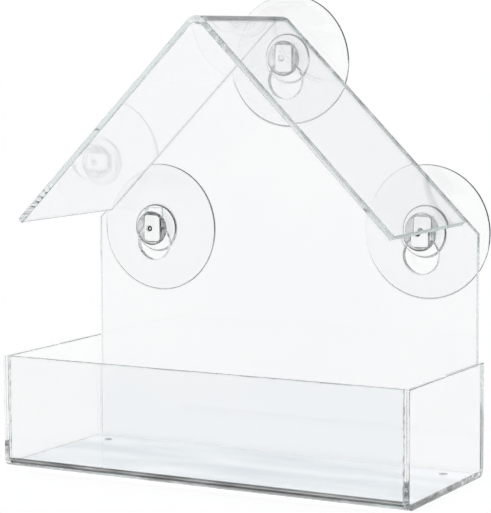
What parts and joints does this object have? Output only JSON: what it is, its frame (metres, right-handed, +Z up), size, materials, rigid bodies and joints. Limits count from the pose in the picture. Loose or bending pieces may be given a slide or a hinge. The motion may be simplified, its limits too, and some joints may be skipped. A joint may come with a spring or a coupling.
{
  "type": "window bird feeder",
  "caption": "Clear house-shaped window bird feeder: back panel and open seed tray bent from one sheet, glued end panels and pitched roof, and soft suction cups that slide in keyholes.",
  "frame": {"origin": "middle of the tray's underside", "axes": "+X to the viewer's right along the tray, +Y towards the window behind the back panel, +Z up"},
  "size_m": [0.1503, 0.0645, 0.159],
  "materials": {
    "clear_acrylic": "clear polished sheet with darker cut edges",
    "soft_clear_pvc": "soft clear moulding, slightly cloudy"
  },
  "bodies": {
    "feeder": {"body_sheet": "clear_acrylic", "left_side_panel": "clear_acrylic", "right_side_panel": "clear_acrylic", "roof_sheet": "clear_acrylic"},
    "top_cup": {"top_suction_cup": "soft_clear_pvc"},
    "left_cup": {"left_suction_cup": "soft_clear_pvc"},
    "right_cup": {"right_suction_cup": "soft_clear_pvc"}
  },
  "joints": [
    {"name": "top_cup_slide", "type": "slide", "parent": "feeder", "child": "top_cup", "axis": [0, 0, 1], "range_m": [-0.0075, 0]},
    {"name": "left_cup_slide", "type": "slide", "parent": "feeder", "child": "left_cup", "axis": [0, 0, 1], "range_m": [-0.005, 0.0025]},
    {"name": "right_cup_slide", "type": "slide", "parent": "feeder", "child": "right_cup", "axis": [0, 0, 1], "range_m": [-0.0075, 0]}
  ]
}
